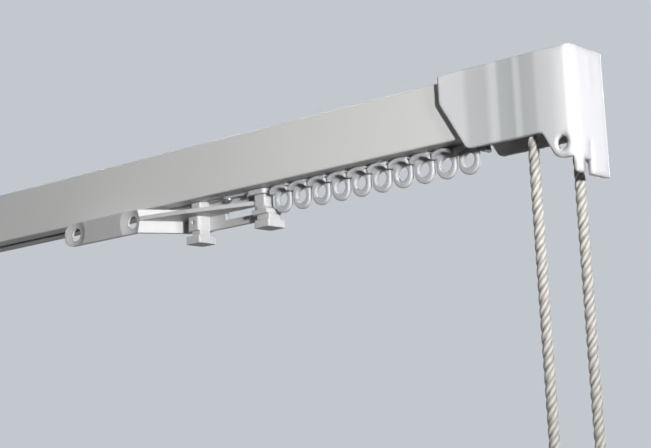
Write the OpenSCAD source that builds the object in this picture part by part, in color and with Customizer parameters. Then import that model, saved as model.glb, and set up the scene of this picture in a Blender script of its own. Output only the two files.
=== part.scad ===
// Cord-drawn curtain track: a box rail with an end pulley housing, ring gliders,
// a master carrier with an overlap arm, and a cord loop held down by a cord weight.
// X runs along the rail, -Y faces the room, +Z is up.
// The origin is the middle of the rail's top face.

/* [Rail] */
// Length of the rail
rail_len = 700; // [640:10:760]
// Height of the rail
rail_h = 25; // [24:0.5:27]
// Depth of the rail, front to back
rail_d = 21; // [20.5:0.5:23]
// Thickness of the rail's top and sides
rail_wall = 1.3; // [1:0.1:1.5]
// Thickness of the two lips beside the slot
lip_t = 1.5; // [1.2:0.1:1.8]
// Width of the slot along the underside
slot_w = 4.3; // [4.1:0.1:5]
// Height of the cord ledges above the rail's underside
ledge_up = 11; // [10.5:0.25:11.5]
// Reach of each cord ledge from its side wall
ledge_w = 2.6; // [1.5:0.1:3]
// Thickness of the cord ledges
ledge_t = 1.2; // [0.8:0.1:1.5]
// Radius of the rail's four long edges
rail_edge_r = 0.8; // [0.4:0.1:1.2]
// Diameter of the fixing holes in the top wall
fix_hole_d = 4.5; // [3.5:0.5:5.5]
// Distance between the two fixing holes
fix_pitch = 500; // [400:10:560]

/* [Housings] */
// Length of the pulley housing at the right
housing_len = 62; // [61:0.5:66]
// Length of the return housing at the left
return_len = 46; // [44:1:60]
// Wall thickness of the housings
housing_wall = 1.8; // [1.6:0.1:2]
// Thickness of the housings' end walls
end_wall = 2; // [1.6:0.1:2.4]
// Gap between a housing and the rail inside it
housing_fit = 0.2; // [0.1:0.05:0.3]
// How far the rail goes into each housing
rail_engage = 16.6; // [16:0.2:18]
// How far a housing reaches below the rail
housing_drop = 5; // [4:0.5:6]
// Height of the housing's upright open edge
mouth_h = 11.6; // [9:0.2:13]
// Length of the slanting edge under the mouth
mouth_slant = 12; // [10:0.5:14]
// Radius of the housing's upright end corners
housing_corner_r = 3.5; // [2.5:0.25:4.5]
// How far the lugs reach below the rail
lug_drop = 16.3; // [15.5:0.1:18]
// Diameter of the hole through the two lugs
lug_hole_d = 5; // [4:0.25:5]
// How far the tongue of the end wall reaches below the rail
tongue_drop = 22.5; // [21:0.5:26]
// Diameter of the screws that hold the housings on the rail
fix_screw_d = 3; // [2.5:0.25:3.5]

/* [Sheaves and cord] */
// Diameter of the draw cord
cord_d = 4.4; // [3.8:0.1:4.4]
// Radius of the cord's line round the two pulley sheaves
sheave_r = 9; // [8.8:0.1:9]
// Width of every sheave
sheave_w = 6.5; // [6:0.1:6.6]
// How far a sheave's rims stand past the cord's line
rim_past = 1.2; // [0.8:0.1:1.4]
// Diameter of the steel axles
axle_d = 3; // [2.5:0.1:3.2]
// Gap round the cord in grooves and clamps
cord_gap = 0.3; // [0.25:0.05:0.4]

/* [Gliders] */
// Distance between gliders pushed together
pitch = 11.25; // [11.25:0.05:11.6]
// Outer width of a glider's ring
ring_od = 9.8; // [9.2:0.1:10.2]
// Diameter of a ring's eye
ring_id = 6.2; // [5.5:0.1:6.6]
// Thickness of a ring
ring_t = 2.2; // [1.8:0.1:2.8]
// Thickness of a ring below its eye
ring_floor = 2.75; // [2.2:0.05:3]
// Height of the eye's middle below the rail
eye_drop = 6.7; // [6.5:0.1:7]
// Thickness of the arched plate under the lips
flange_t = 1.4; // [1.2:0.1:1.6]
// Depth of the arched plate, front to back
flange_d = 8.4; // [7.6:0.1:9]
// How far the arched plate curves down at its ends
flange_sag = 1.7; // [1.4:0.1:1.9]
// Gap between what slides and the rail
glide_gap = 0.4; // [0.3:0.05:0.5]

/* [Master carrier] */
// Distance between the carrier's two posts
post_span = 39.3; // [38:0.5:42]
// Length of the runner inside the rail
runner_len = 54; // [53.5:0.5:56]
// Half the width of the runner
runner_half = 8; // [7:0.25:8.5]
// Distance between the cord clamp's screws
clamp_pitch = 13; // [11:0.5:14]
// Thickness of the arm's plate
arm_t = 2.2; // [1.8:0.1:2.5]
// Height of the arm's front plate
arm_h = 11.2; // [10.5:0.1:12]
// Length of the arm's front plate
arm_front_len = 52.6; // [48:0.5:58]
// How far the front plate stands in front of the slot's middle
arm_offset = 19.5; // [18.5:0.5:21]
// Diameter of the hook holes in the arm
hook_hole_d = 6; // [5:0.25:6.5]
// Diameter of the shallow dish round each hook hole
dish_d = 15; // [13:0.5:16]
// Depth of the dishes
dish_depth = 1.2; // [0.8:0.1:1.4]
// Thickness of the arm's web
web_t = 2; // [1.6:0.1:2.4]
// Length of a foot along the track
foot_len = 9.2; // [8.5:0.1:9.4]
// Depth of a foot, front to back
foot_depth = 10.9; // [10:0.1:12]
// Thickness of a foot
foot_t = 3.6; // [3:0.1:4]

/* [Cord weight] */
// Width of the cord weight
weight_w = 28; // [27:0.5:32]
// Thickness of the cord weight
weight_t = 14; // [13.5:0.5:16]
// Height of the cord weight
weight_h = 50; // [50:1:60]
// Wall of the weight's sheave pocket
weight_wall = 2.5; // [2:0.1:2.6]

/* [Hidden] */
$fn = 48;
press_gap = 0.02;
run_gap = 0.05;
cavity_gap = 0.5;
screw_gap = 0.1;
end_stop_back = 11.8;
moving_gliders = 9;
first_gap = 12.55;
tile_gap = 0.35;
clamp_back = 15;
keel_margin = 2.3;
post_plate_t = 2.2;
foot_drop = 19.6;
collar_drop = 13.6;
hole_from_bend = 4.6;
weight_past_rail = 28.4;
cut = 1;
facets = 10;
weight_drop = 175;
weight_sheave_r = 8.8;
weight_turn = atan2(13.4, 11.4);

rail_end = rail_len / 2;
inner_half = rail_d / 2 - rail_wall;
under = -rail_h;
lip_top = under + lip_t;
ledge_z = under + ledge_up;
cord_half = 6.7;
cord_z = -7.5;
groove_r = cord_d / 2 + cord_gap;
mouth_x = rail_end - rail_engage;
housing_top = housing_fit + housing_wall;
housing_in = rail_d / 2 + housing_fit;
housing_half = housing_in + housing_wall;
housing_z = under - housing_drop;
front_sheave_x = rail_end + 13.7;
rear_sheave_x = rail_end + 25.1;
return_sheave_x = rail_end + 13;
sheave_z = cord_z - sheave_r;
divider_half = 1.5;
boss_d = axle_d + 3.5;
boss_gap = 0.2;
end_stop_x = rail_end - end_stop_back;
post_x = end_stop_x - moving_gliders * pitch - first_gap;
left_post_x = post_x - post_span;
runner_bottom = lip_top + glide_gap;
runner_top = ledge_z - glide_gap;
clamp_x = post_x - clamp_back;
slide_top = under - glide_gap;
weight_x = rail_end + weight_past_rail;

glider_names = [for (k = [1 : moving_gliders]) str("glider_0", k)];

white_paint = "#d6d6d2";
white_plastic = "#ececec";
grey_plastic = "#c8cacc";
steel = "#9a9da0";
cord_white = "#dcdad4";

// The cord inside the track, from above the front fall round to above the rear fall
run_points = [
  [372.7, -6.7, -24], [372.7, -6.7, -16.5], [372, -6.7, -13.1], [370.1, -6.7, -10.1],
  [367.1, -6.7, -8.2], [363.7, -6.7, -7.5],
  [345, -6.7, -7.5], [260, -6.7, -7.5], [170, -6.7, -7.5], [80, -6.7, -7.5], [-10, -6.7, -7.5],
  [-100, -6.7, -7.5], [-190, -6.7, -7.5], [-280, -6.7, -7.5], [-345, -6.7, -7.5],
  [-363, -6.7, -7.5], [-365.6, -6.2, -7.5], [-367.7, -4.7, -7.5], [-369.2, -2.6, -7.5],
  [-369.7, 0, -7.5], [-369.2, 2.6, -7.5], [-367.7, 4.7, -7.5], [-365.6, 6.2, -7.5],
  [-363, 6.7, -7.5],
  [-345, 6.7, -7.5], [-280, 6.7, -7.5], [-190, 6.7, -7.5], [-100, 6.7, -7.5], [-10, 6.7, -7.5],
  [80, 6.7, -7.5], [170, 6.7, -7.5], [260, 6.7, -7.5], [345, 6.7, -7.5],
  [375.1, 6.7, -7.5], [378.5, 6.7, -8.2], [381.5, 6.7, -10.1], [383.4, 6.7, -13.1],
  [384.1, 6.7, -16.5], [384.1, 6.7, -24]];
// The cord below the housing, down to the weight's sheave and up again
fall_points = [
  [372.7, -6.7, -24], [372.7, -6.7, -60], [372.7, -6.7, -100], [372.7, -6.7, -140],
  [372.7, -6.7, -175], [373.1, -6.2, -178.4], [374.4, -4.7, -181.2], [376.2, -2.6, -183.1],
  [378.4, 0, -183.8], [380.6, 2.6, -183.1], [382.4, 4.7, -181.2], [383.7, 6.2, -178.4],
  [384.1, 6.7, -175], [384.1, 6.7, -140], [384.1, 6.7, -100], [384.1, 6.7, -60],
  [384.1, 6.7, -24]];

// Shapes that several pieces share

function unit(v) = v / norm(v);

// Points of the arc that rounds the corner b of the path a, b, c
function corner_arc(a, b, c, r, steps) =
  let (u = unit(a - b), v = unit(c - b), half = acos(u * v) / 2)
  let (centre = b + unit(u + v) * r / sin(half))
  let (s = b + u * r / tan(half) - centre, e = b + v * r / tan(half) - centre)
  [for (i = [0 : steps]) centre + r * unit(s * (1 - i / steps) + e * i / steps)];

// An outline whose corners are given as [x, y, radius]
function rounded(pts, steps = 6) = [
  for (i = [0 : len(pts) - 1])
    let (p = pts[i], a = pts[(i + len(pts) - 1) % len(pts)], c = pts[(i + 1) % len(pts)])
    each p[2] == 0 ? [[p[0], p[1]]]
      : corner_arc([a[0], a[1]], [p[0], p[1]], [c[0], c[1]], p[2], steps)];

// A rectangle with round corners, made of true arcs
module soft_rect(w, h, r) {
  square([w - 2 * r, h], center = true);
  square([w, h - 2 * r], center = true);
  for (x = [-1, 1], y = [-1, 1]) translate([x * (w / 2 - r), y * (h / 2 - r)]) circle(r = r);
}

// An outline in X and Z, extruded from y0 to y1
module slab_y(y0, y1) {
  translate([0, y1, 0]) rotate([90, 0, 0]) linear_extrude(y1 - y0) children();
}

// An outline in X and Y, extruded from z0 to z1
module slab_z(z0, z1) {
  translate([0, 0, z0]) linear_extrude(z1 - z0) children();
}

module rod_y(d, y0, y1, x, z) {
  translate([x, y1, z]) rotate([90, 0, 0]) cylinder(d = d, h = y1 - y0);
}

module rod_z(d, z0, z1, x, y = 0) {
  translate([x, y, z0]) cylinder(d = d, h = z1 - z0);
}

module block(x0, x1, y0, y1, z0, z1) {
  translate([x0, y0, z0]) cube([x1 - x0, y1 - y0, z1 - z0]);
}

// A block whose upright corners are rounded
module soft_block(x0, x1, y0, y1, z0, z1, r) {
  slab_z(z0, z1) translate([(x0 + x1) / 2, (y0 + y1) / 2]) soft_rect(x1 - x0, y1 - y0, r);
}

// A screw with a pan head, pointing along -Z from the underside of its head
module pan_screw(d, length, head_d, head_h) {
  translate([0, 0, -length]) cylinder(d = d, h = length);
  difference() {
    rotate_extrude() polygon([[0, 0], [head_d / 2, 0], [head_d / 2, head_h * 0.4],
      [head_d * 0.4, head_h * 0.85], [head_d * 0.25, head_h], [0, head_h]]);
    for (turn = [0, 90]) rotate([0, 0, turn])
      block(-head_d * 0.3, head_d * 0.3, -d * 0.12, d * 0.12, head_h * 0.4, head_h + cut);
  }
}

// A sheave on the Z axis with a round groove for the cord
module sheave(line_r, width) {
  rim_r = line_r + rim_past;
  hub_r = boss_d / 2;
  rotate_extrude() difference() {
    translate([axle_d / 2 + run_gap, -width / 2]) square([rim_r - axle_d / 2 - run_gap, width]);
    translate([line_r, 0]) circle(r = groove_r);
    translate([line_r, -groove_r * 0.9]) square([rim_past + cut, groove_r * 1.8]);
    for (side = [-1, 1]) translate([(hub_r + line_r - groove_r * 0.7) / 2 + 0.1, side * width / 2])
      square([line_r - groove_r * 0.7 - hub_r - 1, 0.8], center = true);
  }
}

// A round tube along a list of points
function side_vector(t) = unit(cross(t, abs(t[1]) > 0.9 ? [0, 0, 1] : [0, 1, 0]));
function tangent(p, i) = unit(p[min(i + 1, len(p) - 1)] - p[max(i - 1, 0)]);
function carried(prev, t) = unit(prev - (prev * t) * t);
function frames(p, i, prev) =
  i == len(p) ? [] : let (v = carried(prev, tangent(p, i))) concat([v], frames(p, i + 1, v));

module cord(points, d) {
  sides = frames(points, 0, side_vector(tangent(points, 0)));
  n = len(points);
  rings = [for (i = [0 : n - 1], k = [0 : facets - 1])
    let (t = tangent(points, i), u = sides[i], v = cross(t, u), a = 360 * k / facets)
    points[i] + d / 2 * (cos(a) * u + sin(a) * v)];
  walls = [for (i = [0 : n - 2], k = [0 : facets - 1])
    let (a = i * facets + k, b = i * facets + (k + 1) % facets)
    [a, a + facets, b + facets, b]];
  start = [for (k = [0 : facets - 1]) k];
  finish = [for (k = [facets - 1 : -1 : 0]) (n - 1) * facets + k];
  polyhedron(rings, concat(walls, [start], [finish]), convexity = 10);
}

// The rail

module rail_section() {
  difference() {
    translate([0, -rail_h / 2]) soft_rect(rail_d, rail_h, rail_edge_r);
    translate([-inner_half, lip_top]) square([2 * inner_half, rail_h - rail_wall - lip_t]);
    translate([-slot_w / 2, under - cut]) square([slot_w, lip_t + 2 * cut]);
  }
  for (side = [-1, 1]) translate([side * (inner_half - ledge_w / 2), ledge_z + ledge_t / 2])
    square([ledge_w + 0.02, ledge_t], center = true);
}

module rail() {
  color(white_paint) difference() {
    translate([-rail_end, 0, 0]) rotate([90, 0, 90]) linear_extrude(rail_len) rail_section();
    for (side = [-1, 1]) rod_z(fix_hole_d, -rail_wall - cut, cut, side * fix_pitch / 2);
    for (side = [-1, 1])
      rod_y(fix_screw_d + screw_gap, 0, rail_d, side * (rail_end - rail_engage / 2), -rail_h / 2);
  }
}

// The housings

// The side of a housing. The lug hangs at the far end of the pulley housing only.
module housing_side(length, with_lug) {
  slant_z = housing_top - mouth_h;
  lug_z = under - lug_drop;
  tail = with_lug
    ? [[length - 15.1, housing_z, 2.2], [length - 9.2, lug_z, 4.4], [length, lug_z, 0]]
    : [[length, housing_z, 2.5]];
  polygon(rounded(concat(
    [[0, housing_top, 0.8], [0, slant_z, 1.5], [mouth_slant, housing_z, 3]],
    tail,
    [[length, housing_top, 0.8]])));
}

module housing_plan(length, half, far_r) {
  polygon(rounded([[0, -half, 0], [length, -half, far_r], [length, half, far_r], [0, half, 0]]));
}

// A housing with its mouth at x = 0, open below
module housing_shell(length, with_lug) {
  difference() {
    intersection() {
      slab_y(-housing_half, housing_half) housing_side(length, with_lug);
      slab_z(under - 2 * lug_drop, housing_top) housing_plan(length, housing_half, housing_corner_r);
    }
    translate([-cut, 0, 0]) slab_z(under - 2 * lug_drop - cut, housing_fit)
      housing_plan(length - end_wall + cut, housing_in, housing_corner_r - housing_wall);
  }
}

module housing_screw_hole() {
  rod_y(fix_screw_d + 2 * screw_gap, housing_in - cut, housing_half + cut,
    rail_engage / 2, -rail_h / 2);
}

module pulley_housing() {
  slit_y = -2.8;
  slit_w = 0.8;
  slit_top = under - 9.7;
  notch_top = under - 17;
  notch_w = 5.4;
  divider_x = rail_engage + 2.6;
  color(white_plastic) translate([mouth_x, 0, 0]) difference() {
    union() {
      housing_shell(housing_len, true);
      // The end wall goes on below the lugs as a tongue.
      intersection() {
        translate([housing_len - end_wall, 0, 0]) rotate([90, 0, 90]) linear_extrude(end_wall)
          polygon(rounded([
            [-housing_half, under, 0], [-housing_half, under - tongue_drop, 2.5],
            [housing_half, under - tongue_drop, 2.5], [housing_half, under, 0]]));
        slab_z(under - tongue_drop, under) housing_plan(housing_len, housing_half, housing_corner_r);
      }
      // A wall down the middle carries the axles.
      slab_y(-divider_half, divider_half) polygon(rounded([
        [divider_x, housing_fit + 0.01, 0], [divider_x, sheave_z - boss_d / 2, 2],
        [housing_len - 6, sheave_z - boss_d / 2, 2], [housing_len - end_wall + 0.01, sheave_z + 6, 0],
        [housing_len - end_wall + 0.01, housing_fit + 0.01, 0]]));
      for (side = [-1, 1]) {
        x = (side < 0 ? front_sheave_x : rear_sheave_x) - mouth_x;
        near = cord_half - sheave_w / 2 - boss_gap;
        far = cord_half + sheave_w / 2 + boss_gap;
        rod_y(boss_d, side < 0 ? -near : 0, side < 0 ? 0 : near, x, sheave_z);
        rod_y(boss_d, side < 0 ? -housing_in - 0.01 : far, side < 0 ? -far : housing_in + 0.01,
          x, sheave_z);
      }
    }
    for (side = [-1, 1]) {
      x = (side < 0 ? front_sheave_x : rear_sheave_x) - mouth_x;
      rod_y(axle_d + 2 * press_gap, side < 0 ? -housing_in - 1 : -divider_half - cut,
        side < 0 ? divider_half + cut : housing_in + 1, x, sheave_z);
    }
    rod_y(lug_hole_d, -housing_half - cut, housing_half + cut, housing_len - 6.5, under - 10.4);
    translate([housing_len - end_wall - cut, 0, 0]) {
      block(0, end_wall + 2 * cut, slit_y - slit_w / 2, slit_y + slit_w / 2, notch_top - cut, slit_top);
      block(0, end_wall + 2 * cut, slit_y + slit_w / 2 - notch_w, slit_y + slit_w / 2,
        under - tongue_drop - cut, notch_top);
    }
    housing_screw_hole();
  }
}

module return_housing() {
  color(white_plastic) translate([-mouth_x, 0, 0]) mirror([1, 0, 0]) difference() {
    union() {
      housing_shell(return_len, false);
      rod_z(boss_d, cord_z + sheave_w / 2 + boss_gap, housing_fit + 0.01, return_sheave_x - mouth_x);
    }
    rod_z(axle_d + 2 * press_gap, cord_z, housing_fit + 1, return_sheave_x - mouth_x);
    housing_screw_hole();
  }
}

module housing_screws() {
  color(steel) for (side = [-1, 1])
    translate([side * (rail_end - rail_engage / 2), housing_half, -rail_h / 2])
      rotate([-90, 0, 0]) pan_screw(fix_screw_d, housing_half - inner_half + 2, 5.6, 2);
}

// The sheaves and their axles

module front_sheave() {
  color(grey_plastic) translate([front_sheave_x, -cord_half, sheave_z]) rotate([90, 0, 0])
    sheave(sheave_r, sheave_w);
}

module rear_sheave() {
  color(grey_plastic) translate([rear_sheave_x, cord_half, sheave_z]) rotate([90, 0, 0])
    sheave(sheave_r, sheave_w);
}

module return_sheave() {
  color(grey_plastic) translate([-return_sheave_x, 0, cord_z]) sheave(cord_half, sheave_w);
}

module front_axle() {
  color(steel) rod_y(axle_d, -housing_in - 0.9, divider_half, front_sheave_x, sheave_z);
}

module rear_axle() {
  color(steel) rod_y(axle_d, -divider_half, housing_in + 0.9, rear_sheave_x, sheave_z);
}

// The return axle is a headed pin, so that the sheave can't drop off it.
module return_axle() {
  head_top = cord_z - sheave_w / 2 - boss_gap;
  color(steel) {
    rod_z(axle_d, head_top - 0.5, housing_fit + 0.9, -return_sheave_x);
    rod_z(axle_d + 3, head_top - 1.4, head_top, -return_sheave_x);
  }
}

// The gliders

// The eye below the rail: a ring with straight sides under an arched plate
module eye(x) {
  edge = 0.6;
  half = (pitch - tile_gap) / 2;
  arch_r = (half * half + flange_sag * flange_sag) / (2 * flange_sag);
  eye_z = under - eye_drop - slide_top;
  round_z = eye_z - ring_id / 2 - ring_floor + ring_od / 2;
  translate([x, 0, slide_top]) {
    intersection() {
      slab_y(-flange_d, flange_d) intersection() {
        translate([0, -arch_r]) difference() {
          circle(r = arch_r);
          circle(r = arch_r - flange_t);
        }
        translate([-half, -arch_r]) square([2 * half, arch_r]);
      }
      slab_z(-arch_r, cut) soft_rect(2 * half, flange_d, 1);
    }
    difference() {
      union() {
        intersection() {
          slab_z(round_z, 0) soft_rect(ring_od, ring_t, edge);
          slab_y(-ring_t, ring_t) translate([0, -arch_r]) circle(r = arch_r - flange_t / 2);
        }
        translate([0, 0, round_z]) rotate([90, 0, 0]) rotate_extrude() intersection() {
          soft_rect(ring_od, ring_t, edge);
          translate([0, -ring_t]) square([ring_od, 2 * ring_t]);
        }
      }
      rod_y(ring_id, -ring_t / 2 - cut, ring_t / 2 + cut, 0, eye_z);
    }
  }
}

// The shoe that runs on the lips, and the neck through the slot
module shoe(x) {
  shoe_len = 9.5;
  shoe_w = 13;
  shoe_t = 2;
  neck_len = 6;
  slab_z(runner_bottom, runner_bottom + shoe_t) translate([x, 0]) intersection() {
    square([shoe_len, shoe_w], center = true);
    circle(d = shoe_w + 0.6);
  }
  soft_block(x - neck_len / 2, x + neck_len / 2, -slot_w / 2 + glide_gap, slot_w / 2 - glide_gap,
    slide_top - 0.2, runner_bottom + 0.2, 1);
}

module glider(k) {
  x = end_stop_x - pitch * (moving_gliders + 1 - k);
  color(white_plastic) {
    eye(x);
    shoe(x);
  }
}

// The last eye doesn't slide: a tongue at its side reaches on towards the rail's end.
module end_stop() {
  color(white_plastic) {
    eye(end_stop_x);
    shoe(end_stop_x);
    slab_y(-2, 2) polygon(rounded([
      [end_stop_x + 2, slide_top - 0.3, 0], [end_stop_x + 4.5, slide_top - 2.4, 0],
      [end_stop_x + 8.4, slide_top - 4.6, 0.4], [end_stop_x + 9.6, slide_top - 4, 0.4],
      [end_stop_x + 8.6, slide_top, 0.5], [end_stop_x + 3, slide_top, 0]]));
  }
}

// The master carrier

post_half = 1.75;
tenon_half = 3;
tenon_up = 6.5;

module carrier_runner() {
  x0 = post_x + 6.3 - runner_len;
  x1 = post_x + 6.3;
  keel_half = clamp_pitch / 2 + keel_margin;
  color(white_plastic) difference() {
    union() {
      soft_block(x0, x1, -runner_half, runner_half, runner_bottom, runner_top, 2);
      soft_block(clamp_x - keel_half, clamp_x + keel_half, -slot_w / 2 + glide_gap,
        slot_w / 2 - glide_gap, under - 1, runner_bottom + 0.2, 1);
    }
    for (x = [left_post_x, post_x])
      block(x - tenon_half - press_gap, x + tenon_half + press_gap,
        -post_half - press_gap, post_half + press_gap, runner_bottom - cut, under + tenon_up + 0.2);
    for (side = [-1, 1])
      rod_z(1.6 + 2 * screw_gap, under - 2, runner_top + cut, clamp_x + side * clamp_pitch / 2);
    // Pockets along the runner keep the moulding light.
    for (side = [-1, 1], i = [-1, 0, 1])
      soft_block(clamp_x + i * 7 - 2.5, clamp_x + i * 7 + 2.5, side * 5 - 1.6, side * 5 + 1.6,
        runner_top - 5, runner_top + cut, 1);
  }
}

// Two jaws that grip the front cord, on a block that stands between the ledges
module cord_clamp() {
  jaw_t = 1.3;
  half = clamp_pitch / 2 + 3;
  color(grey_plastic) difference() {
    translate([clamp_x - half, 0, 0]) rotate([90, 0, 90]) linear_extrude(2 * half) difference() {
      union() {
        translate([-3, runner_top]) square([6, 5]);
        intersection() {
          translate([-cord_half, cord_z]) circle(r = groove_r + jaw_t);
          translate([-inner_half + 0.4, cord_z - 5]) square([8, 10]);
        }
        translate([-cord_half + groove_r, runner_top + 2]) square([2.2, 7]);
      }
      translate([-cord_half, cord_z]) circle(r = groove_r);
      translate([-inner_half - cut, cord_z - groove_r * 0.8])
        square([inner_half - cord_half + cut, groove_r * 1.6]);
    }
    for (side = [-1, 1])
      rod_z(1.6 + 2 * press_gap, runner_top - cut, runner_top + 4, clamp_x + side * clamp_pitch / 2);
  }
}

module clamp_screws() {
  color(steel) for (side = [-1, 1])
    translate([clamp_x + side * clamp_pitch / 2, 0, under - 1]) rotate([180, 0, 0])
      pan_screw(1.6, runner_top + 3.8 - under + 1, 3.4, 1.4);
}

bend_run = 12.2;
bend_depth = 21.5;
back_y = bend_depth - arm_offset;
bend1_x = left_post_x - 23.6;
bend2_x = bend1_x + bend_run;
tip_x = bend1_x - arm_front_len;
plate_top = under - 1.4;
plate_end = post_x + 2.6;
miter = arm_t * tan(atan2(bend_depth, bend_run) / 2);

// The arm's plate seen from above: front stretch, bend back under the rail, rear stretch
module arm_plan() {
  polygon(rounded([
    [tip_x, -arm_offset, 0.6], [bend1_x, -arm_offset, 1.6], [bend2_x, back_y, 1],
    [plate_end, back_y, 0], [plate_end, back_y + arm_t, 0.6], [bend2_x - miter, back_y + arm_t, 2],
    [bend1_x - miter, arm_t - arm_offset, 1], [tip_x, arm_t - arm_offset, 0.6]], 4));
}

// The arm's plate seen from the front: a round tip, and a deeper rear stretch
module arm_face() {
  low = plate_top - arm_h;
  polygon(rounded([
    [tip_x, plate_top, arm_h / 2 - 0.05], [bend2_x, plate_top, 0], [bend2_x + 2, plate_top + 0.5, 0],
    [plate_end, plate_top + 0.5, 0.6], [plate_end, low - 0.9, 0.6],
    [bend2_x + 5, low - 0.9, 0.6], [bend2_x + 4, low, 0], [tip_x, low, arm_h / 2 - 0.05]], 12));
}

module overlap_arm() {
  window_top = plate_top - 4.6;
  web_top = under - 4.9;
  foot_z = under - foot_drop;
  flare = (dish_d - hook_hole_d - 2) / dish_depth;
  color(white_plastic) difference() {
    union() {
      intersection() {
        slab_z(plate_top - 2 * arm_h, under) arm_plan();
        slab_y(-arm_offset - cut, back_y + arm_t + cut) arm_face();
      }
      // The web stiffens the bend, from the first bend straight to the right post.
      slab_z(web_top - web_t, web_top) polygon([
        [bend1_x + 0.6, -arm_offset + 0.6], [left_post_x + 3.6, -13.2], [post_x - 2, -1.6],
        [post_x - 2, back_y + 0.1], [bend2_x, back_y + 0.1]]);
      // Left post, with a collar under the web, and its foot
      soft_block(left_post_x - 3, left_post_x + 3, -4.2, back_y + 0.2, foot_z + cut, slide_top, 0.7);
      block(left_post_x - tenon_half, left_post_x + tenon_half, -post_half, post_half,
        slide_top - 0.1, under + tenon_up);
      soft_block(left_post_x - 4.4, left_post_x + 2.5, -5.2, 5, under - collar_drop,
        web_top - web_t + 0.2, 0.9);
      soft_block(left_post_x - 1.2 - foot_len / 2, left_post_x - 1.2 + foot_len / 2,
        -foot_depth / 2, foot_depth / 2, foot_z, foot_z + foot_t, 0.8);
      // Right post, with a plate under the lips and a spool-shaped foot
      soft_block(post_x - 3.3, post_x + 3.3, -2.8, back_y + 0.2, under - 11, slide_top, 0.7);
      block(post_x - tenon_half, post_x + tenon_half, -post_half, post_half,
        slide_top - 0.1, under + tenon_up);
      soft_block(post_x - 6, post_x + 4.6, -4.6, 4.6, slide_top - post_plate_t, slide_top, 1.5);
      soft_block(post_x - 3.2, post_x + 6.7, -5, 4.8, under - 12, under - 9.9, 0.7);
      slab_y(-3.6, 3.6) polygon([[post_x - 1, under - 8.2], [post_x - 1, foot_z + 2],
        [post_x + 6.5, foot_z + 2], [post_x + 6.5, under - 11.2], [post_x + 3.2, under - 8.2]]);
      soft_block(post_x + 3.3 - foot_len / 2, post_x + 3.3 + foot_len / 2,
        -foot_depth / 2, foot_depth / 2, foot_z + 1.3, foot_z + 1.3 + foot_t, 0.8);
    }
    // Hook holes, each in a shallow dish in the front plate
    for (x = [tip_x + 7.7, bend1_x - hole_from_bend]) {
      rod_y(hook_hole_d, -arm_offset - cut, arm_t - arm_offset + 3, x, plate_top - arm_h / 2);
      translate([x, -arm_offset - cut, plate_top - arm_h / 2]) rotate([-90, 0, 0])
        cylinder(d1 = dish_d + flare * cut, d2 = hook_hole_d + 2, h = dish_depth + cut);
    }
    // Small gate mark in the front of the collar
    rod_y(1.8, -5.2 - cut, -5.2 + 0.6, left_post_x - 1, under - 9.5);
    // Window in the rear stretch, beside the left post
    block(left_post_x + 13.6, post_x - 1.8, back_y - 0.5, back_y + arm_t + cut,
      window_top - 4, window_top);
  }
}

// The cord

module cord_run() {
  color(cord_white) cord(run_points, cord_d);
}

module cord_falls() {
  color(cord_white) cord(fall_points, cord_d);
}

// The cord weight, built with its sheave's axle along its own Y axis

weight_top = 12;
weight_low = weight_top - weight_h;
weight_floor = -weight_sheave_r - groove_r - cavity_gap;
weight_in = weight_w / 2 - weight_wall;
slug_top = weight_floor - 4.5;

module in_weight() {
  translate([weight_x, 0, -weight_drop]) rotate([0, 0, weight_turn]) children();
}

module weight_body() {
  pocket_half = sheave_w / 2 + cavity_gap;
  difference() {
    intersection() {
      slab_y(-weight_t / 2, weight_t / 2) polygon(rounded([
        [-weight_w / 2, weight_top, 3], [-weight_w / 2, weight_low, 8],
        [weight_w / 2, weight_low, 8], [weight_w / 2, weight_top, 3]], 8));
      slab_z(weight_low, weight_top) soft_rect(weight_w, weight_t, 4);
    }
    rod_y(2 * weight_in, -pocket_half, pocket_half, 0, 0);
    block(-weight_in, weight_in, -pocket_half, pocket_half, 0, weight_top + cut);
    rod_y(axle_d + 2 * press_gap, -weight_t / 2 + 1.2, weight_t / 2 - 1.2, 0, 0);
    slab_y(-pocket_half, pocket_half) polygon(rounded([
      [-weight_in + 1, slug_top, 1], [-weight_in + 1, weight_low + weight_wall, 6],
      [weight_in - 1, weight_low + weight_wall, 6], [weight_in - 1, slug_top, 1]]));
    for (side = [-1, 1]) {
      rod_y(2.2, -weight_t / 2 + 1.5, weight_t / 2 - 1, side * 9, slug_top + 2.6);
      rod_y(4.6, -weight_t / 2 - cut, -weight_t / 2 + 1.5, side * 9, slug_top + 2.6);
    }
  }
}

module weight_front() {
  color(white_plastic) in_weight() intersection() {
    weight_body();
    block(-weight_w, weight_w, -weight_t, 0, weight_low - cut, weight_top + cut);
  }
}

module weight_back() {
  color(white_plastic) in_weight() intersection() {
    weight_body();
    block(-weight_w, weight_w, 0, weight_t, weight_low - cut, weight_top + cut);
  }
}

module weight_sheave() {
  color(grey_plastic) in_weight() rotate([90, 0, 0]) sheave(weight_sheave_r, sheave_w);
}

module weight_axle() {
  color(steel) in_weight() rod_y(axle_d, -weight_t / 2 + 1.3, weight_t / 2 - 1.3, 0, 0);
}

module weight_slug() {
  half = sheave_w / 2 + cavity_gap - press_gap;
  color(steel) in_weight() slab_y(-half, half) polygon(rounded([
    [-weight_in + 1.1, slug_top - 0.1, 1], [-weight_in + 1.1, weight_low + weight_wall + 0.1, 6],
    [weight_in - 1.1, weight_low + weight_wall + 0.1, 6], [weight_in - 1.1, slug_top - 0.1, 1]]));
}

module weight_screws() {
  color(steel) in_weight() for (side = [-1, 1])
    translate([side * 9, -weight_t / 2 + 1.5, slug_top + 2.6]) rotate([90, 0, 0])
      pan_screw(2.1, weight_t - 2.8, 4.2, 1.3);
}

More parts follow.
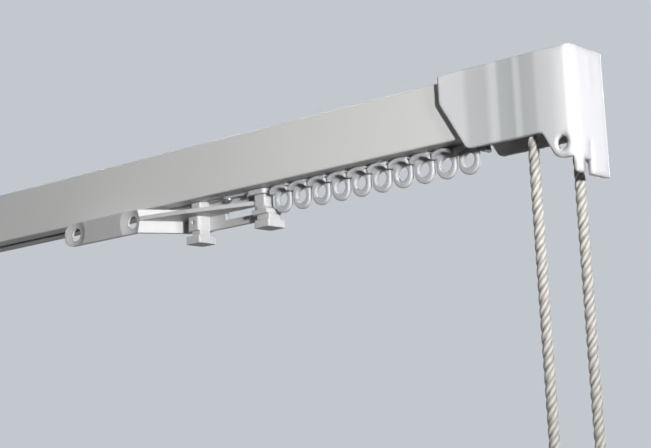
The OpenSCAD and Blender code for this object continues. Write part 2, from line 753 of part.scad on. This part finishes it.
rail();
pulley_housing();
return_housing();
front_sheave();
rear_sheave();
return_sheave();
front_axle();
rear_axle();
return_axle();
housing_screws();
end_stop();
for (k = [1 : moving_gliders])
  glider(k);
carrier_runner();
cord_clamp();
clamp_screws();
overlap_arm();
cord_run();
cord_falls();
weight_front();
weight_back();
weight_sheave();
weight_axle();
weight_slug();
weight_screws();
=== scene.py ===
# %% [markdown]
# # A cord-drawn curtain track
#
# The real object is a white box rail that hangs under a ceiling. A pulley housing caps its
# right end, a return housing its left end, and a loop of rope pulls a master carrier along
# it. The construction is finished before this lesson starts: each piece arrives at its real
# size and in its place. What is left is the look, so the lesson dresses those pieces with
# finishes and lays real rope along the route of the plain cord.

# %% Load the frame
import math

import bpy
from mathutils import Matrix, Vector


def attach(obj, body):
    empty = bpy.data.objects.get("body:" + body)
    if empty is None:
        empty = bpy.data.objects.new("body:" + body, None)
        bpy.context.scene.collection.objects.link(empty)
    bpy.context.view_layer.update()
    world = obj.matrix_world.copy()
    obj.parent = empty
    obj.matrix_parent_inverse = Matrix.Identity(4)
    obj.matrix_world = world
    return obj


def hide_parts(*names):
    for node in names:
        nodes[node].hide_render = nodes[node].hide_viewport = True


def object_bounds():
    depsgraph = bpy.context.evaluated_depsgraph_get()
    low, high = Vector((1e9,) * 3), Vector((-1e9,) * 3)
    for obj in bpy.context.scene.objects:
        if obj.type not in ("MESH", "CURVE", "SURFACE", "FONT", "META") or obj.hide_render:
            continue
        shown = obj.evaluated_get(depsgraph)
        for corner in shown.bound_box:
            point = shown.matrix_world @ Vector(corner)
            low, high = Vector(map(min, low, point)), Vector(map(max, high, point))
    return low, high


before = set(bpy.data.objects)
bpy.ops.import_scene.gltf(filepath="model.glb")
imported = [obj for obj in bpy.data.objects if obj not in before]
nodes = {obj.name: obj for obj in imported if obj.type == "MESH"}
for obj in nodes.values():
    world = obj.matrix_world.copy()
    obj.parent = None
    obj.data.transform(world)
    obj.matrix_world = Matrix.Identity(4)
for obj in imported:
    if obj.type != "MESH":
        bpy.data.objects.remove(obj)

cad_low, cad_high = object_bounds()
print("pieces:", len(nodes), "box:", [round(x, 4) for x in cad_high - cad_low])

# %% [markdown]
# ## The camera
#
# The track is seen from below and from its right end, at arm's length, with a long lens. The
# lines of the rail and of the housing's end wall meet at two vanishing points, and those give
# the angles and the focal length. Setting the three angles directly is clearer here than a
# Track To constraint, because the camera also leans a little to one side.

# %% Camera
FRAME_WIDTH_PX = 651
FOCAL_LENGTH_PX = 1493
SENSOR_WIDTH_MM = 36
CAMERA_PLACE = (0.6734, -0.4875, -0.1584)
CAMERA_TILT, CAMERA_LEAN, CAMERA_TURN = 99.97, 2.59, 40.72

lens = bpy.data.cameras.new("camera")
lens.sensor_width = SENSOR_WIDTH_MM
lens.lens = FOCAL_LENGTH_PX / FRAME_WIDTH_PX * SENSOR_WIDTH_MM
lens.clip_start, lens.clip_end = 0.01, 20
camera = bpy.data.objects.new("camera", lens)
camera.location = CAMERA_PLACE
camera.rotation_euler = [math.radians(a) for a in (CAMERA_TILT, CAMERA_LEAN, CAMERA_TURN)]
bpy.context.collection.objects.link(camera)
bpy.context.scene.camera = camera
print("focal length:", round(lens.lens, 1), "mm")

# %% [markdown]
# ## The rope
#
# The draw cord is a laid rope: three strands of polyester twisted round each other, 4.4 mm
# thick. A curve with a round bevel would be quick, but it would be a smooth hose. Here one
# mesh is swept along the route with a three-lobed section that turns as it goes, so the
# strands are real geometry and their edges catch the light.
#
# The route is a short list of points. A smooth line is drawn through them first, and cut
# into even steps, because the twist has to be even too.

# %% Rope helpers
MM = 0.001


def smooth_route(points, step):
    """Even steps along a smooth line through the points, which are in millimetres."""
    knots = [Vector(p) * MM for p in points]
    knots = [2 * knots[0] - knots[1]] + knots + [2 * knots[-1] - knots[-2]]
    fine = [knots[1]]
    for a, b, c, d in zip(knots, knots[1:], knots[2:], knots[3:]):
        # The spacing of the knots is kept, so that a long straight stretch beside a
        # short one doesn't swing out.
        t1 = math.sqrt((b - a).length)
        t2 = t1 + math.sqrt((c - b).length)
        t3 = t2 + math.sqrt((d - c).length)
        count = max(2, int((c - b).length / step * 4))
        for i in range(1, count + 1):
            t = t1 + (t2 - t1) * i / count
            ab = a.lerp(b, t / t1)
            bc = b.lerp(c, (t - t1) / (t2 - t1))
            cd = c.lerp(d, (t - t2) / (t3 - t2))
            left = ab.lerp(bc, t / t2)
            right = bc.lerp(cd, (t - t1) / (t3 - t1))
            fine.append(left.lerp(right, (t - t1) / (t2 - t1)))
    return even_steps(fine, step)


def even_steps(line, step):
    """The same line with its points an equal distance apart."""
    total = sum((b - a).length for a, b in zip(line, line[1:]))
    count = round(total / step)
    gap = total / count
    out, walked, wanted = [line[0]], 0.0, gap
    for a, b in zip(line, line[1:]):
        span = (b - a).length
        while wanted <= walked + span + 1e-9 and len(out) < count:
            out.append(a.lerp(b, (wanted - walked) / span))
            wanted += gap
        walked += span
    return out + [line[-1]]


def length_of(line):
    """The line's length in metres."""
    return sum((b - a).length for a, b in zip(line, line[1:]))


# %% [markdown]
# The section has a lobe for each strand. Between two lobes the radius drops to a sharp
# valley. Each ring of the sweep is turned a little further than the last, by the share of
# the lay length that it stands for. The frame of each ring is carried over from the ring
# before, which keeps the twist even round the sheaves.

# %% Laid rope
STRANDS = 3
LAY_LENGTH = 15 * MM
VALLEY = 0.24
SECTION_POINTS = 24


def lobed_radius(angle):
    """Radius of the rope's section, as a share of its outer radius."""
    return 1 - VALLEY * (1 - abs(math.cos(STRANDS * angle / 2)))


def laid_rope(name, line, diameter):
    """A twisted rope along the line, with its length and girth as UV in metres."""
    verts, faces, uvs = [], [], []
    side = Vector((0, 1, 0)).cross(line[1] - line[0]).normalized()
    walked = 0.0
    for i, point in enumerate(line):
        ahead = (line[min(i + 1, len(line) - 1)] - line[max(i - 1, 0)]).normalized()
        side = (side - side.dot(ahead) * ahead).normalized()
        other = ahead.cross(side)
        if i:
            walked += (point - line[i - 1]).length
        turn = math.tau * walked / LAY_LENGTH
        for k in range(SECTION_POINTS):
            angle = math.tau * k / SECTION_POINTS
            reach = diameter / 2 * lobed_radius(angle)
            verts.append(point + reach * (math.cos(angle + turn) * side
                                          + math.sin(angle + turn) * other))
    for i in range(len(line) - 1):
        for k in range(SECTION_POINTS):
            a, b = i * SECTION_POINTS + k, i * SECTION_POINTS + (k + 1) % SECTION_POINTS
            faces.append((a, b, b + SECTION_POINTS, a + SECTION_POINTS))
            uvs.append((i, k))
    last = (len(line) - 1) * SECTION_POINTS
    faces.append(tuple(reversed(range(SECTION_POINTS))))
    faces.append(tuple(range(last, last + SECTION_POINTS)))
    mesh = bpy.data.meshes.new(name)
    mesh.from_pydata(verts, [], faces)
    layer = mesh.uv_layers.new(name="along and round")
    step, girth = walked / (len(line) - 1), math.pi * diameter / SECTION_POINTS
    for face, (i, k) in enumerate(uvs):
        for corner, (di, dk) in enumerate(((0, 0), (0, 1), (1, 1), (1, 0))):
            layer.data[4 * face + corner].uv = ((i + di) * step, (k + dk) * girth)
    mesh.polygons.foreach_set("use_smooth", [True] * len(mesh.polygons))
    rope = bpy.data.objects.new(name, mesh)
    bpy.context.collection.objects.link(rope)
    return rope


# %% [markdown]
# ## The two stretches of cord
#
# Inside the track the rope goes over the front sheave, along the rail, round the return
# sheave and back to the rear sheave. Below the housing it falls to the cord weight, round
# the weight's sheave and up again. The two stretches meet inside the housing, above its
# open underside, where the join doesn't show.

# %% Cord routes
CORD_DIAMETER = 4.4 * MM
RUN_STEP = 0.9 * MM
FALL_STEP = 0.6 * MM
FRONT, REAR = -6.7, 6.7
RUN_HEIGHT = -7.5
JOIN_HEIGHT = -24
FRONT_FALL, REAR_FALL = 372.7, 384.1

long_run = [345, 260, 170, 80, -10, -100, -190, -280, -345]
run_points = (
    [(FRONT_FALL, FRONT, JOIN_HEIGHT), (FRONT_FALL, FRONT, -16.5), (372, FRONT, -13.1),
     (370.1, FRONT, -10.1), (367.1, FRONT, -8.2), (363.7, FRONT, RUN_HEIGHT)]
    + [(x, FRONT, RUN_HEIGHT) for x in long_run]
    + [(-363, FRONT, RUN_HEIGHT), (-365.6, -6.2, RUN_HEIGHT), (-367.7, -4.7, RUN_HEIGHT),
       (-369.2, -2.6, RUN_HEIGHT), (-369.7, 0, RUN_HEIGHT), (-369.2, 2.6, RUN_HEIGHT),
       (-367.7, 4.7, RUN_HEIGHT), (-365.6, 6.2, RUN_HEIGHT), (-363, REAR, RUN_HEIGHT)]
    + [(x, REAR, RUN_HEIGHT) for x in reversed(long_run)]
    + [(375.1, REAR, RUN_HEIGHT), (378.5, REAR, -8.2), (381.5, REAR, -10.1),
       (383.4, REAR, -13.1), (REAR_FALL, REAR, -16.5), (REAR_FALL, REAR, JOIN_HEIGHT)])
straight_fall = [-60, -100, -140]
fall_points = (
    [(FRONT_FALL, FRONT, z) for z in [JOIN_HEIGHT] + straight_fall]
    + [(FRONT_FALL, FRONT, -175), (373.1, -6.2, -178.4), (374.4, -4.7, -181.2),
       (376.2, -2.6, -183.1), (378.4, 0, -183.8), (380.6, 2.6, -183.1), (382.4, 4.7, -181.2),
       (383.7, 6.2, -178.4), (REAR_FALL, REAR, -175)]
    + [(REAR_FALL, REAR, z) for z in list(reversed(straight_fall)) + [JOIN_HEIGHT]])

run_line = smooth_route(run_points, RUN_STEP)
fall_line = smooth_route(fall_points, FALL_STEP)
run_rope = laid_rope("rope_in_track", run_line, CORD_DIAMETER)
fall_rope = laid_rope("rope_falls", fall_line, CORD_DIAMETER)
for rope, plain_cord in ((run_rope, "cord_run"), (fall_rope, "cord_falls")):
    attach(rope, "track")
    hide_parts(plain_cord)
print("rope in the track:", round(length_of(run_line), 3), "m")
print("rope below the housing:", round(length_of(fall_line), 3), "m")

# %% [markdown]
# ## Helpers for the finishes
#
# Colours are written as the hex values that a screen shows. Blender's shaders work with
# linear light, so one function turns the first into the second. A second function adds a
# node to a material: its inputs are numbers, colours or the outputs of other nodes.

# %% Colour and node helpers


def linear(hex_colour):
    """A linear RGBA colour from an sRGB hex value such as #ffffff."""
    out = []
    for i in (1, 3, 5):
        c = int(hex_colour[i:i + 2], 16) / 255
        out.append(c / 12.92 if c <= 0.04045 else ((c + 0.055) / 1.055) ** 2.4)
    return (*out, 1.0)


def add(tree, kind, inputs=None, **settings):
    """A new node with its settings, and its inputs set or linked."""
    node = tree.nodes.new(kind)
    for name, value in settings.items():
        setattr(node, name, value)
    for name, value in (inputs or {}).items():
        if isinstance(value, bpy.types.NodeSocket):
            tree.links.new(value, node.inputs[name])
        else:
            node.inputs[name].default_value = value
    return node


def new_material(name):
    """An empty material, its node tree and its coordinates in metres."""
    material = bpy.data.materials.new(name)
    material.use_nodes = True
    tree = material.node_tree
    tree.nodes.clear()
    place = add(tree, "ShaderNodeTexCoord").outputs["Object"]
    return material, tree, place


# How far red, green and blue light get into a white plastic, as shares of its scale
LIGHT_IN_PLASTIC = (1.0, 0.95, 0.9)


def per_mm(size_mm):
    """The scale that makes a noise about size_mm from crest to crest."""
    return 1 / (size_mm * MM)


def finish(tree, surface):
    """Links a shader to the material's output."""
    add(tree, "ShaderNodeOutputMaterial", {"Surface": surface})


# %% [markdown]
# ## Powder-coated aluminium
#
# The rail is an aluminium extrusion with a white polyester powder coat. The powder melts
# and flows in the oven, and leaves a faint orange peel, about 2 mm from crest to crest. The
# coat is a plastic over metal, so it isn't metallic: its gloss is a soft one. Slow changes
# of shade along the rail keep the long plain face from looking like paper.

# %% Powder coat
ORANGE_PEEL_MM = 2.0
COAT_CLOUD_MM = 90
EDGE_ROUNDING = 0.6 * MM


def powder_coat():
    material, tree, place = new_material("powder_coated_aluminium")
    cloud = add(tree, "ShaderNodeTexNoise", {
        "Vector": place, "Scale": per_mm(COAT_CLOUD_MM), "Detail": 3.0, "Roughness": 0.5})
    shade = add(tree, "ShaderNodeMix", {
        "Factor": cloud.outputs["Fac"], "A": linear("#dedddc"), "B": linear("#e5e5e3")},
        data_type="RGBA")
    peel = add(tree, "ShaderNodeTexNoise", {
        "Vector": place, "Scale": per_mm(ORANGE_PEEL_MM), "Detail": 1.0, "Roughness": 0.4})
    soft_edge = add(tree, "ShaderNodeBevel", {"Radius": EDGE_ROUNDING}, samples=4)
    bump = add(tree, "ShaderNodeBump", {
        "Height": peel.outputs["Fac"], "Strength": 0.12, "Distance": 0.2 * MM,
        "Normal": soft_edge.outputs["Normal"]})
    surface = add(tree, "ShaderNodeBsdfPrincipled", {
        "Base Color": shade.outputs["Result"], "Roughness": 0.42, "IOR": 1.5,
        "Normal": bump.outputs["Normal"]})
    finish(tree, surface.outputs["BSDF"])
    return material


# %% [markdown]
# ## Moulded nylon
#
# The housings are injection-moulded nylon. Light gets a few millimetres into it, so it looks
# softer than paint: the subsurface inputs give that. The front wall carries upright bands of
# painted light and shade, paler and greyer, that stand in for light showing through the thin
# wall; the palest, just before the far corner, are a painted highlight. The bands are a colour
# ramp along the housing, in real millimetres, and a mask keeps them on the front wall. The
# housing's far corner is softer than its other edges, so the radius of the soft edge grows
# over the last millimetres before it.

# %% Moulded nylon
FLOW_MARK_MM = 14
NYLON_GRAIN_MM = 0.6
# The lit and the shaded colour of the painted bands on the front wall, then the nylon's own two
# shades
BAND_PAINTED_LIGHT, BAND_PAINTED_SHADE = "#f4f4f6", "#b6b9ba"
NYLON_PLAIN, NYLON_PLAIN_GREY = "#d3d3d6", "#cdcdd0"
BAND_START, BAND_END = 333.4, 395.4
# Painted light and shade on the front wall: where each stop stands along the housing in mm, and
# how pale it is
PAINTED_LIGHT_BANDS_MM = [
    (0.0, 0.75), (11.5, 0.68), (14.5, 0.32), (22.5, 0.25), (25.5, 0.58), (27.5, 0.54),
    (29.0, 0.15), (35.0, 0.05), (36.6, 0.42), (38.0, 0.38), (39.5, 0.08), (44.5, 0.12),
    (46.5, 0.42), (52.0, 0.55), (56.5, 0.9), (59.0, 1.0), (62.0, 0.8)]
FRONT_WALL_Y = -11.2
HOUSING_EDGE_ROUNDING, CORNER_ROUNDING = 1.2 * MM, 5.0 * MM
CORNER_START, CORNER_END = 384, 391


def nylon(name, with_painted_bands):
    material, tree, place = new_material(name)
    flow = add(tree, "ShaderNodeTexNoise", {
        "Vector": place, "Scale": per_mm(FLOW_MARK_MM), "Detail": 2.0, "Roughness": 0.6})
    base = add(tree, "ShaderNodeMix", {
        "Factor": flow.outputs["Fac"], "A": linear(NYLON_PLAIN_GREY), "B": linear(NYLON_PLAIN)},
        data_type="RGBA")
    colour = base.outputs["Result"]
    if with_painted_bands:
        axes = add(tree, "ShaderNodeSeparateXYZ", {"Vector": place})
        along = add(tree, "ShaderNodeMapRange", {
            "Value": axes.outputs["X"], "From Min": BAND_START * MM, "From Max": BAND_END * MM})
        ramp = add(tree, "ShaderNodeValToRGB", {"Fac": along.outputs["Result"]})
        stops = ramp.color_ramp.elements
        while len(stops) < len(PAINTED_LIGHT_BANDS_MM):
            stops.new(0.5)
        for stop, (x, pale) in zip(stops, PAINTED_LIGHT_BANDS_MM):
            stop.position = x / (BAND_END - BAND_START)
            stop.color = (pale, pale, pale, 1)
        # Painted light and shade: the ramp mixes the lit and the shaded colour into bands
        painted_bands = add(tree, "ShaderNodeMix", {
            "Factor": ramp.outputs["Color"], "A": linear(BAND_PAINTED_SHADE), "B": linear(BAND_PAINTED_LIGHT)},
            data_type="RGBA")
        on_front = add(tree, "ShaderNodeMath", {
            0: axes.outputs["Y"], 1: FRONT_WALL_Y * MM}, operation="LESS_THAN")
        masked = add(tree, "ShaderNodeMix", {
            "Factor": on_front.outputs["Value"], "A": colour, "B": painted_bands.outputs["Result"]},
            data_type="RGBA")
        colour = masked.outputs["Result"]
    grain = add(tree, "ShaderNodeTexNoise", {
        "Vector": place, "Scale": per_mm(NYLON_GRAIN_MM), "Detail": 2.0, "Roughness": 0.5})
    rounding = HOUSING_EDGE_ROUNDING
    if with_painted_bands:
        rounding = add(tree, "ShaderNodeMapRange", {
            "Value": axes.outputs["X"], "From Min": CORNER_START * MM, "From Max": CORNER_END * MM,
            "To Min": HOUSING_EDGE_ROUNDING, "To Max": CORNER_ROUNDING}).outputs["Result"]
    soft_edge = add(tree, "ShaderNodeBevel", {"Radius": rounding}, samples=16)
    bump = add(tree, "ShaderNodeBump", {
        "Height": grain.outputs["Fac"], "Strength": 0.1, "Distance": 0.1 * MM,
        "Normal": soft_edge.outputs["Normal"]})
    surface = add(tree, "ShaderNodeBsdfPrincipled", {
        "Base Color": colour, "Roughness": 0.38, "IOR": 1.53, "Subsurface Weight": 0.5,
        "Subsurface Radius": LIGHT_IN_PLASTIC, "Subsurface Scale": 3 * MM,
        "Normal": bump.outputs["Normal"]})
    finish(tree, surface.outputs["BSDF"])
    return material


# %% [markdown]
# ## Moulded acetal
#
# Gliders, carrier, arm and sheaves are acetal, the slippery plastic that such small moving
# pieces are made of. Light gets into it as it does into nylon. One function makes all of
# them and the shells of the cord weight, with two shades, a roughness and an edge for each.

# %% Moulded acetal
ACETAL_GRAIN_MM = 0.45
ACETAL_CLOUD_MM = 7


def acetal(name, pale, grey, roughness, rounding_mm):
    material, tree, place = new_material(name)
    cloud = add(tree, "ShaderNodeTexNoise", {
        "Vector": place, "Scale": per_mm(ACETAL_CLOUD_MM), "Detail": 2.0, "Roughness": 0.55})
    colour = add(tree, "ShaderNodeMix", {
        "Factor": cloud.outputs["Fac"], "A": linear(grey), "B": linear(pale)},
        data_type="RGBA")
    grain = add(tree, "ShaderNodeTexNoise", {
        "Vector": place, "Scale": per_mm(ACETAL_GRAIN_MM), "Detail": 2.0, "Roughness": 0.5})
    soft_edge = add(tree, "ShaderNodeBevel", {"Radius": rounding_mm * MM}, samples=8)
    bump = add(tree, "ShaderNodeBump", {
        "Height": grain.outputs["Fac"], "Strength": 0.08, "Distance": 0.08 * MM,
        "Normal": soft_edge.outputs["Normal"]})
    surface = add(tree, "ShaderNodeBsdfPrincipled", {
        "Base Color": colour.outputs["Result"], "Roughness": roughness, "IOR": 1.48,
        "Subsurface Weight": 0.6, "Subsurface Radius": LIGHT_IN_PLASTIC,
        "Subsurface Scale": 2.5 * MM, "Normal": bump.outputs["Normal"]})
    finish(tree, surface.outputs["BSDF"])
    return material


# %% [markdown]
# ## Zinc-plated steel
#
# Screws and axles are steel with a thin zinc plate: a metal, so its colour is its
# reflection. Turning leaves fine marks that spread the highlight.

# %% Zinc-plated steel
TURNING_MARK_MM = 0.3


def zinc_plate():
    material, tree, place = new_material("zinc_plated_steel")
    marks = add(tree, "ShaderNodeTexNoise", {
        "Vector": place, "Scale": per_mm(TURNING_MARK_MM), "Detail": 3.0, "Roughness": 0.6})
    rough = add(tree, "ShaderNodeMapRange", {
        "Value": marks.outputs["Fac"], "To Min": 0.22, "To Max": 0.42})
    bump = add(tree, "ShaderNodeBump", {
        "Height": marks.outputs["Fac"], "Strength": 0.15, "Distance": 0.05 * MM})
    surface = add(tree, "ShaderNodeBsdfPrincipled", {
        "Base Color": linear("#c9ccd0"), "Metallic": 1.0, "Roughness": rough.outputs["Result"],
        "Normal": bump.outputs["Normal"]})
    finish(tree, surface.outputs["BSDF"])
    return material


# %% [markdown]
# ## Polyester rope
#
# Each strand is a bundle of yarns, and in a laid rope the yarns run along the rope. They
# are suggested by waves round the girth, from the mesh's own UV, which is in metres. The
# fibres scatter light softly, which is what the shader's sheen is for. A real yarn is about
# 0.3 mm wide. The waves are far coarser than that, nearly 3 mm from crest to crest, because
# the number below is the girth that one radian of the wave takes up.

# %% Polyester rope
WAVE_MM_PER_RADIAN = 0.45
WAVE_TEXTURE_RADIANS = 20


def polyester():
    material, tree, _ = new_material("laid_polyester_rope")
    uv = add(tree, "ShaderNodeUVMap", uv_map="along and round")
    yarns = add(tree, "ShaderNodeTexWave", {
        "Vector": uv.outputs["UV"],
        "Scale": per_mm(WAVE_MM_PER_RADIAN) / WAVE_TEXTURE_RADIANS,
        "Distortion": 1.2, "Detail": 2.0, "Detail Scale": 2.0}, bands_direction="Y")
    # Painted shade: both greys are darker than white polyester, for the shade the rope hangs in
    # below the housing, and the colour follows the waves of the bump, darker in the grooves
    # between the yarns.
    colour = add(tree, "ShaderNodeMix", {
        "Factor": yarns.outputs["Fac"], "A": linear("#918f89"), "B": linear("#c9c7c0")},
        data_type="RGBA")
    bump = add(tree, "ShaderNodeBump", {
        "Height": yarns.outputs["Fac"], "Strength": 0.5, "Distance": 0.15 * MM})
    surface = add(tree, "ShaderNodeBsdfPrincipled", {
        "Base Color": colour.outputs["Result"], "Roughness": 0.8, "IOR": 1.55,
        "Sheen Weight": 0.3, "Sheen Roughness": 0.4, "Normal": bump.outputs["Normal"]})
    finish(tree, surface.outputs["BSDF"])
    return material


# %% [markdown]
# ## Dressing the pieces
#
# A finish is made once and then shared by all the pieces that are made of it.

# %% Dress the pieces
GLIDERS = [n for n in nodes if n.startswith("glider_")] + ["end_stop"]


def dress(names, material):
    """Gives the pieces one material."""
    for name in names:
        nodes[name].data.materials.clear()
        nodes[name].data.materials.append(material)


dress(["rail"], powder_coat())
dress(["pulley_housing"], nylon("moulded_nylon_housing", True))
dress(["return_housing"], nylon("moulded_nylon_plain", False))
# The gliders and the carrier pieces get greyer shades than the sheaves and the weight's shells.
# That grey is painted shade, which darkens their front faces.
dress(GLIDERS, acetal("moulded_acetal_glider", "#c4c5c8", "#babbbe", 0.38, 0.8))
dress(["overlap_arm", "carrier_runner", "cord_clamp"],
      acetal("moulded_acetal_carrier", "#cfcfd0", "#c5c5c6", 0.4, 0.6))
dress(["front_sheave", "rear_sheave", "return_sheave", "weight_sheave"],
      acetal("moulded_acetal_sheave", "#d3d5d6", "#c8cacb", 0.3, 0.3))
dress(["weight_front", "weight_back"],
      acetal("moulded_shell_of_weight", "#e8e9e8", "#dfe0df", 0.35, 0.4))
dress(["housing_screws", "clamp_screws", "weight_screws", "front_axle", "rear_axle",
       "return_axle", "weight_axle", "weight_slug"], zinc_plate())
rope_finish = polyester()
for rope in (run_rope, fall_rope):
    rope.data.materials.append(rope_finish)
bare = [n for n, o in nodes.items() if not o.hide_render and not o.data.materials[0].use_nodes]
print("materials:", len(bpy.data.materials), "pieces without a finish:", bare)

# %% [markdown]
# ## Light
#
# The main lamp and the side lamp stand to the right and a little in front, so that the
# housing's end wall and every face that turns that way are white, and the long front faces
# are a step greyer. Both are small, so the two shadows beside the housing's mouth have
# edges. Larger lamps light the top and the back, two more light the left end, and a weak
# world fills the shadows.

# %% Lamps


def softbox(name, place, target, size, watts, beam=180):
    """A square area light that points at the target, with a grid that narrows its beam."""
    data = bpy.data.lights.new(name, "AREA")
    data.shape = "SQUARE"
    data.size = size
    data.energy = watts
    data.spread = math.radians(beam)
    lamp = bpy.data.objects.new(name, data)
    lamp.location = place
    lamp.rotation_euler = (Vector(target) - Vector(place)).to_track_quat("-Z", "Y").to_euler()
    bpy.context.collection.objects.link(lamp)


softbox("main lamp", (1.48, -0.71, -0.05), (0.30, 0, -0.02), 0.10, 0.70, beam=32)
softbox("side lamp", (1.44, -0.28, -0.03), (0.27, 0, -0.02), 0.12, 0.13, beam=32)
softbox("top lamp", (0, 0.35, 1.5), (0, 0, 0), 0.6, 13)
softbox("back lamp", (-0.2, 1.7, 0.3), (0, 0, -0.05), 1.0, 15)
softbox("left lamp", (-1.7, 0.3, 0.1), (-0.38, 0, 0), 0.5, 1.5, beam=60)
softbox("front left lamp", (-1.0, -1.1, 0.1), (-0.40, 0, 0), 0.25, 0.3, beam=28)

# %% [markdown]
# ## Floor and background
#
# The track hangs above a plain pale floor. The camera, and whatever shines, sees the world
# as a pale backdrop; everything else is lit by a weaker white, so that the backdrop's tone
# doesn't decide how bright the object is. The floor is split in the same way. It glows
# for the rays that see it and is darker for the rest, so it throws less light up.

# %% World and floor
BACKDROP = "#c3c8ce"
FLOOR, FLOOR_SHADE = "#e6e8ea", "#6c6c6c"
FLOOR_DROP, FLOOR_REACH = 1.2, 30.0
FLOOR_GLOW = 0.6
WORLD_LIGHT = 0.11


def seen_rays(tree):
    """1 for the rays of the camera, of glossy reflections and through glass, 0 for the rest."""
    ray = add(tree, "ShaderNodeLightPath")
    shiny = add(tree, "ShaderNodeMath", {
        0: ray.outputs["Is Glossy Ray"], 1: ray.outputs["Is Transmission Ray"]},
        operation="MAXIMUM")
    return add(tree, "ShaderNodeMath", {
        0: ray.outputs["Is Camera Ray"], 1: shiny.outputs["Value"]},
        operation="MAXIMUM").outputs["Value"]


world = bpy.data.worlds.new("studio")
world.use_nodes = True
bpy.context.scene.world = world
world.node_tree.nodes.clear()
lit = add(world.node_tree, "ShaderNodeBackground", {
    "Color": linear("#ffffff"), "Strength": WORLD_LIGHT})
shown = add(world.node_tree, "ShaderNodeBackground", {
    "Color": linear(BACKDROP), "Strength": 1.0})
either = add(world.node_tree, "ShaderNodeMixShader", {
    "Fac": seen_rays(world.node_tree), 1: lit.outputs["Background"],
    2: shown.outputs["Background"]})
add(world.node_tree, "ShaderNodeOutputWorld", {"Surface": either.outputs["Shader"]})

floor_mesh = bpy.data.meshes.new("floor")
reach, floor_z = FLOOR_REACH, cad_low.z - FLOOR_DROP
floor_mesh.from_pydata(
    [(-reach, -reach, floor_z), (reach, -reach, floor_z), (reach, reach, floor_z),
     (-reach, reach, floor_z)], [], [(0, 1, 2, 3)])
floor = bpy.data.objects.new("floor", floor_mesh)
bpy.context.collection.objects.link(floor)
floor_material, floor_tree, _ = new_material("plain_floor")
floor_seen = seen_rays(floor_tree)
floor_colour = add(floor_tree, "ShaderNodeMix", {
    "Factor": floor_seen, "A": linear(FLOOR_SHADE), "B": linear(FLOOR)}, data_type="RGBA")
floor_paint = add(floor_tree, "ShaderNodeBsdfDiffuse", {"Color": floor_colour.outputs["Result"]})
floor_glow = add(floor_tree, "ShaderNodeEmission", {
    "Color": linear(FLOOR), "Strength": floor_seen})
floor_surface = add(floor_tree, "ShaderNodeMixShader", {
    "Fac": FLOOR_GLOW, 1: floor_paint.outputs["BSDF"], 2: floor_glow.outputs["Emission"]})
finish(floor_tree, floor_surface.outputs["Shader"])
floor_mesh.materials.append(floor_material)

bpy.context.scene.view_settings.view_transform = "Standard"

# %% [markdown]
# ## Sizes and the end
#
# The dressed object has to keep the size of the construction, so the construction's box is
# printed once more at the end.

# %% Finish
print("cad box:", [round(x, 4) for x in cad_high - cad_low])
